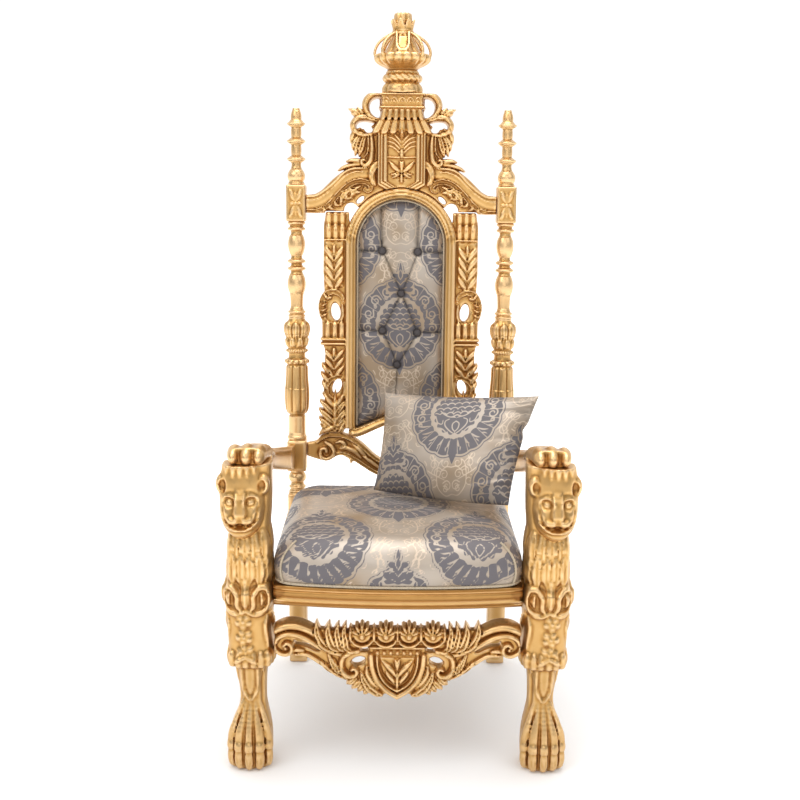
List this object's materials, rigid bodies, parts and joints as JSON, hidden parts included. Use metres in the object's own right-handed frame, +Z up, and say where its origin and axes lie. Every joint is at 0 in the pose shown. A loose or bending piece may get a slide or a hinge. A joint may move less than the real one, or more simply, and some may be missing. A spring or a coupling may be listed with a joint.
{
  "type": "throne",
  "caption": "Tall carved gilt throne with lion legs, turned posts, a crowned and pierced crest, buttoned back, padded seat and a loose pillow.",
  "frame": {"origin": "on the floor, under the centre of the bounding box", "axes": "+Z up, -Y towards the front of the throne, +X to the right seen from the front"},
  "size_m": [0.8258, 0.7808, 1.8003],
  "materials": {
    "gilt": "satin gold leaf paint over carved wood",
    "damask": "woven satin damask, beige ground with grey-mauve figures",
    "braid": "twisted cord"
  },
  "bodies": {
    "root": {"left_rear_post": "gilt", "right_rear_post": "gilt", "crest": "gilt", "crown_finial": "gilt", "back_frame": "gilt", "back_board": "gilt", "lower_rail": "gilt", "left_front_leg": "gilt", "right_front_leg": "gilt", "left_arm": "gilt", "right_arm": "gilt", "front_rail": "gilt", "left_side_rail": "gilt", "right_side_rail": "gilt", "rear_rail": "gilt", "front_stretcher": "gilt", "back_pad": "damask", "seat_cushion": "damask", "pillow": "damask", "back_button_1": "damask", "back_button_2": "damask", "back_button_3": "damask", "back_button_4": "damask", "back_button_5": "damask", "back_button_6": "damask", "seat_piping": "braid"}
  },
  "joints": []
}
